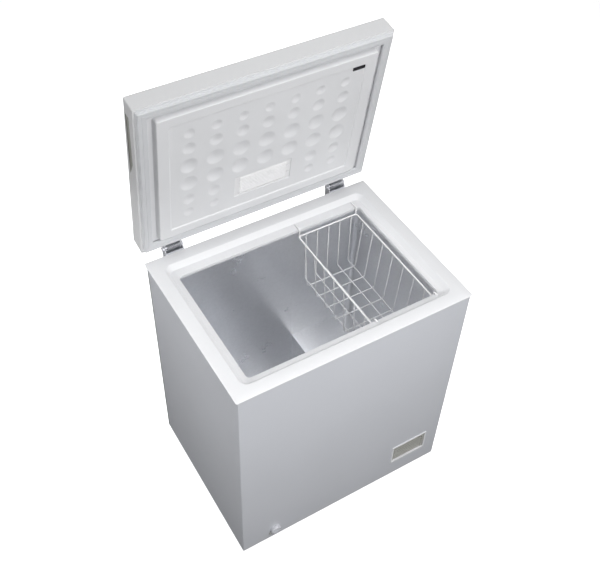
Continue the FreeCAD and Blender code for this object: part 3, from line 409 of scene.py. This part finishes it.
# ------------------------------------------------------------------ lid's inner panel, vacuum-formed
lid_inset_x, lid_inset_y, lid_gap = 1.0 * MM, 4.2 * MM, 12.2 * MM
half_lw = outer_x - lid_inset_x
half_ld = outer_y - lid_inset_y
lid_rim_z = ledge_z + lid_gap
plateau = (half_lw - 50 * MM, half_ld - 43.5 * MM, 7 * MM)       # half width, half depth, radius
field = (plateau[0] - 32 * MM, plateau[1] - 29 * MM, 6 * MM)
wall_foot = 2.5 * MM
plateau_wall, field_wall, pan_wall = 5 * MM, 4 * MM, 3 * MM
plateau_rise = 17.0 * MM
field_sink = 3.0 * MM
flange_back = 1.5 * MM
dimple_columns = 7
dimple_pitch = 2 * field[0] / (dimple_columns + 0.5)
dimple_rows = ((33.2 * MM, 25.0 * MM), (96.0 * MM, 18.5 * MM), (147.5 * MM, 14.5 * MM))
dimple_share = 0.22
dimple_round = 1.1
dimple_shift = -3.0 * MM
pan = (88.0 * MM, 77.0 * MM, 152.0 * MM)       # half width, nearer side, farther side
pan_sink = 9.0 * MM
panel_edge = 1.5 * MM
grid_pitch = 2.6 * MM


def outside(x, y, half_x, half_y, radius):
    """Signed distance to a rounded rectangle, negative inside."""
    qx = np.abs(x) - (half_x - radius)
    qy = np.abs(y) - (half_y - radius)
    return np.hypot(np.maximum(qx, 0), np.maximum(qy, 0)) + np.minimum(np.maximum(qx, qy), 0) - radius


def step_down(distance, width):
    """1 well inside, 0 outside, with a smooth wall of a given width inside the edge."""
    t = np.clip(-distance / width, 0, 1)
    return t * t * (3 - 2 * t)


def over_pan(cx, cy, radius):
    """Whether a hollow would run into the lamp's pan."""
    beside = abs(cx) - radius < pan[0] + pan_wall
    return beside and pan[1] - pan_wall < cy + radius and cy - radius < pan[2] + pan_wall


def formed_rise(x, y):
    """How far the inner panel stands towards the cabinet from its flange."""
    rise = (plateau_rise + flange_back) * step_down(outside(x, y, *plateau) - wall_foot, plateau_wall)
    rise = rise - field_sink * step_down(outside(x, y, *field), field_wall)
    for column in range(dimple_columns):
        cx = (column - (dimple_columns - 1) / 2) * dimple_pitch
        for offset, radius in dimple_rows:
            for side in (-1, 1):
                cy = dimple_shift + side * offset
                if over_pan(cx, cy, radius):
                    continue
                r = np.hypot(x - cx, y - cy) / radius
                cap = np.clip(1 - r * r, 0, 1)
                rise = rise - dimple_share * radius * cap ** dimple_round
    pan_mid, pan_half = (pan[1] + pan[2]) / 2, (pan[2] - pan[1]) / 2
    in_pan = np.maximum(np.abs(x) - pan[0], np.abs(y - pan_mid) - pan_half)
    return rise - pan_sink * step_down(in_pan, pan_wall)


def formed_lines(half, walls):
    """Grid lines, closer together where a wall stands."""
    values = set(np.round(np.arange(-half, half, grid_pitch), 5)) | {round(half, 5)}
    for wall in walls:
        for k in np.arange(-3, 7.01, 0.9):
            for sign in (-1, 1):
                values.add(round(sign * (wall - k * MM), 5))
    return np.array(sorted(values))


def formed_panel():
    xs = formed_lines(half_lw - panel_edge, (plateau[0], field[0], pan[0]))
    ys = formed_lines(half_ld - panel_edge, (plateau[1], field[1]))
    gx, gy = np.meshgrid(xs, ys)
    gz = lid_rim_z + flange_back - formed_rise(gx, gy)
    points = [on_lid(x, y, z) for x, y, z in zip(gx.ravel(), gy.ravel(), gz.ravel())]
    return new_object("lid_formed_panel", points, grid_faces(len(ys), len(xs)))


dress(formed_panel(), "lid", "white_plastic", "lid_inner_panel")


# ------------------------------------------------------------------ lid's seal, a soft bead and a flat web
def seal():
    inset = 5 * MM
    softness = 0.9 * MM
    outer_radius = 3.5
    low = ledge_z + 0.3 * MM
    profile = [
        (0.6, lid_rim_z),
        (0.6, low + 6 * MM),
        (3.2, low + 6 * MM),
        (3.2, low + 1.2 * MM),
        (5.0, low),
        (10.5, low),
        (12.2, low + 1.6 * MM),
        (13.4, low + 1.6 * MM),
        (14.6, low + 0.6 * MM),
        (24.0, low + 1.4 * MM),
        (27.2, low + 3.4 * MM),
        (27.6, low + 8 * MM),
        (26.0, lid_rim_z),
    ]
    keys = []
    for inward, z in profile:
        half_x = half_lw - inset - inward * MM
        half_y = half_ld - inset - inward * MM
        radius = max(outer_radius - inward * 0.1, 0.5) * MM
        keys.append((half_x, -half_y, half_y, radius, z))
    rings = []
    for key in soften(keys, softness, 2):
        rings.append([on_lid(x, y, z) for x, y, z in rounded_ring(*key, per_corner=3)])
    return loft("lid_seal", rings)


dress(seal(), "lid", "white_rubber", "lid_gasket")


# ------------------------------------------------------------------ lamp lens with rounded ribs
def lamp_lens():
    """Clear cover with a row of long half-round ribs, and a plain rim."""
    ribs = 10
    margin = 0.8 * MM
    half = pan[0] - margin
    y0, y1 = pan[1] + margin, pan[2] - margin
    sunk = 2.0 * MM
    base_z = lid_rim_z - plateau_rise + field_sink + sunk
    rim_x, rim_y = 14 * MM, 6 * MM
    rib_half = half - rim_x
    rib_end = 2 * MM
    pitch = (y1 - y0 - 2 * rim_y) / ribs
    rib_width, rib_rise = 0.46 * pitch, 3.0 * MM
    rows = [(y0, 0.0)]
    for i in range(ribs):
        middle = y0 + rim_y + pitch * (i + 0.5)
        for k in range(9):
            angle = math.pi * k / 8
            rows.append((middle - math.cos(angle) * rib_width / 2, math.sin(angle)))
    rows.append((y1, 0.0))
    rounding = [(rib_half - rib_end * k / 4, math.sin(math.pi * k / 8)) for k in range(5)]
    columns = [(-half, 0.0)]
    columns += [(-x, share) for x, share in rounding]
    columns += rounding[::-1]
    columns.append((half, 0.0))
    points = []
    for y, rise in rows:
        for x, share in columns:
            points.append(on_lid(x, y, base_z - rib_rise * rise * share))
    return new_object("lamp_lens", points, grid_faces(len(rows), len(columns)))


dress(lamp_lens(), "lid", "lamp_plastic", "lamp_cover")


# ------------------------------------------------------------------ basket of coated wire
wire = 3.0 * MM
rim_wire = 5.0 * MM
weld = 0.4 * MM
rim_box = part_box("basket_rim")
rim_x0, rim_x1 = rim_box[0].x + rim_wire / 2, rim_box[1].x - rim_wire / 2
rim_y0, rim_y1 = rim_box[0].y + rim_wire / 2, rim_box[1].y - rim_wire / 2
rim_z = (rim_box[0].z + rim_box[1].z) / 2
low_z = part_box("basket_long_wires")[0].z + wire / 2
side_draft, end_draft = 14 * MM, 5 * MM
long_count, long_inset, long_pitch = 5, 18 * MM, 39.6 * MM
cross_count, cross_pitch = 7, 52 * MM
wire_bend, hook_bend = 9 * MM, 6 * MM
hook_inset, hook_short = 3 * MM, 1.2 * MM
hook_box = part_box("basket_hooks")
hook_z = hook_box[1].z - rim_wire / 2


def rim_loop():
    corners = [
        (rim_x0, rim_y0, rim_z),
        (rim_x1, rim_y0, rim_z),
        (rim_x1, rim_y1, rim_z),
        (rim_x0, rim_y1, rim_z),
    ]
    return sweep(bend_path(corners, wire_bend, closed=True), rim_wire / 2, closed=True)


def long_wires(top):
    made = []
    for i in range(long_count):
        x = rim_x1 - long_inset - i * long_pitch
        path = [
            (x, rim_y0, top),
            (x, rim_y0 + end_draft, low_z),
            (x, rim_y1 - end_draft, low_z),
            (x, rim_y1, top),
        ]
        made.append(sweep(bend_path(path, wire_bend), wire / 2))
    return made


def cross_wires(top):
    made = []
    level = low_z + wire - weld
    for i in range(cross_count):
        y = (rim_y0 + rim_y1) / 2 + (i - (cross_count - 1) / 2) * cross_pitch
        path = [
            (rim_x0, y, top),
            (rim_x0 + side_draft, y, level),
            (rim_x1 - side_draft, y, level),
            (rim_x1, y, top),
        ]
        made.append(sweep(bend_path(path, wire_bend), wire / 2))
    return made


def hooks():
    made = []
    for x in (rim_x0 + hook_inset, rim_x1 - hook_inset):
        for edge, tip in ((rim_y0, hook_box[0].y), (rim_y1, hook_box[1].y)):
            inward = 1 if tip < edge else -1
            path = [(x, edge, rim_z), (x, edge, hook_z), (x, tip + inward * hook_short, hook_z)]
            made.append(sweep(bend_path(path, hook_bend), rim_wire / 2))
    return made


wire_top = rim_z - rim_wire / 2 + weld
wirework = merge("basket_wirework", [rim_loop()] + long_wires(wire_top) + cross_wires(wire_top) + hooks())
dress(wirework, "basket", "coated_wire", "basket_rim", "basket_long_wires", "basket_cross_wires",
      "basket_hooks")


# ------------------------------------------------------------------ seam on the liner's back wall
def liner_seam():
    """Folded strip standing a little proud of the wall, above the step's edge."""
    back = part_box("liner_back_wall")
    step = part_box("liner_step_side")
    proud, half, fold = 0.35 * MM, 4.5 * MM, 0.6 * MM
    centre = step[0].x - 3 * MM
    profile = [(-half, 0), (-half + fold, proud), (half - fold, proud), (half, 0)]
    points, faces = [], []
    for z in (step[1].z, rim_low.z):
        points += [(centre + x, back[0].y - y, z) for x, y in profile]
    for k in range(3):
        faces.append((k, k + 1, k + 5, k + 4))
    return new_object("liner_seam", points, faces, smooth=False)


dress(liner_seam(), "cabinet", "liner_aluminium")


# ------------------------------------------------------------------ floor, light and camera
cove_flat = 8.0
cove_curve = 2.0
cove_top = 9.0
cove_glow = 0.75


def studio_cove():
    """Pale floor that curves up into a pale backdrop; it glows evenly and gives no light or shadow."""
    rings = [(3.0, 0.0), (cove_flat, 0.0)]
    for k in range(1, 9):
        angle = math.radians(90 * k / 8)
        rings.append((cove_flat + cove_curve * math.sin(angle), cove_curve * (1 - math.cos(angle))))
    rings.append((cove_flat + cove_curve, cove_top))
    around = 64
    points, faces = [(0, 0, 0)], []
    for radius, height in rings:
        for k in range(around):
            angle = 2 * math.pi * k / around
            points.append((radius * math.cos(angle), radius * math.sin(angle), height))
    for k in range(around):
        m = (k + 1) % around
        faces.append((0, 1 + k, 1 + m))
        for i in range(len(rings) - 1):
            low, high = 1 + i * around, 1 + (i + 1) * around
            faces.append((low + k, high + k, high + m, low + m))
    made = new_object("studio_cove", points, faces)
    paint = finish("cove_paint", (0.86, 0.86, 0.86), 0.8, grain=40, relief=0.00002, patch=1.0,
                   drift=0.004, speckle=0.002, edge=0)
    shader = paint.node_tree.nodes["Principled BSDF"]
    shader.inputs["Emission Color"].default_value = (1, 1, 1, 1)
    shader.inputs["Emission Strength"].default_value = cove_glow
    made.data.materials.append(paint)
    made.visible_diffuse = False
    made.visible_glossy = False
    made.visible_shadow = False


studio_cove()


def softbox(name, place, target, width, height, power):
    lamp = bpy.data.lights.new(name, "AREA")
    lamp.shape = "RECTANGLE"
    lamp.size, lamp.size_y = width, height
    lamp.energy = power
    made = bpy.data.objects.new(name, lamp)
    bpy.context.scene.collection.objects.link(made)
    made.location = place
    aim = Vector(target) - Vector(place)
    made.rotation_euler = aim.to_track_quat("-Z", "Y").to_euler()
    made.visible_camera = False
    return made


def world(sky, ground_glow):
    """Even dome: one strength above the horizon and one below it, blended between."""
    horizon_blur = 0.15
    made = bpy.data.worlds.new("studio")
    made.use_nodes = True
    nodes, links = made.node_tree.nodes, made.node_tree.links
    place = nodes.new("ShaderNodeTexCoord")
    parts = nodes.new("ShaderNodeSeparateXYZ")
    blend = nodes.new("ShaderNodeMapRange")
    blend.inputs["From Min"].default_value = -horizon_blur
    blend.inputs["From Max"].default_value = horizon_blur
    blend.inputs["To Min"].default_value = ground_glow
    blend.inputs["To Max"].default_value = sky
    links.new(place.outputs["Generated"], parts.inputs["Vector"])
    links.new(parts.outputs["Z"], blend.inputs["Value"])
    links.new(blend.outputs["Result"], nodes["Background"].inputs["Strength"])
    nodes["Background"].inputs["Color"].default_value = (1, 1, 1, 1)
    bpy.context.scene.world = made


sky_power, under_power = 0.08, 0.11
world(sky_power, under_power)
softbox("overhead", (0.1, -0.4, 3.2), (0, 0, 0.4), 2.6, 2.2, 37)
softbox("front_key", (0.5, -1.9, 2.3), (0, -0.2, 0.4), 1.6, 1.0, 26.5)
softbox("front_low", (-0.4, -2.6, 1.0), (0, 0, 0.7), 1.6, 1.2, 24.5)
softbox("front_down", (0.0, -0.95, 1.12), (0, -0.95, 0), 1.2, 0.4, 4.3)
softbox("left_down", (-1.0, 0.0, 1.12), (-1.0, 0, 0), 0.4, 1.0, 5.5)
softbox("left_side", (-2.4, 0.4, 1.25), (-0.36, 0.2, 0.95), 0.9, 0.9, 20)
softbox("right_fill", (2.6, -0.1, 1.0), (0.36, 0, 0.7), 1.4, 1.2, 20)
softbox("back_fill", (0.5, 3.0, 1.0), (0, 0.3, 0.7), 2.0, 1.4, 42)

foot = base_low.z
lens_centre = Vector((-915.63 * MM, -1398.95 * MM + mid_y, 2581.56 * MM + foot))
forward = Vector((0.36511, 0.57207, -0.73446)).normalized()
roll = math.radians(2.387)
camera_data = bpy.data.cameras.new("camera")
camera_data.lens = 53.586
camera_data.sensor_width = 36.0
camera = bpy.data.objects.new("camera", camera_data)
bpy.context.scene.collection.objects.link(camera)
camera.rotation_mode = "QUATERNION"
camera.location = lens_centre
level_view = forward.to_track_quat("-Z", "Y")
camera.rotation_quaternion = level_view @ Matrix.Rotation(roll, 3, "Z").to_quaternion()
bpy.context.scene.camera = camera
bpy.context.scene.view_settings.view_transform = "Standard"
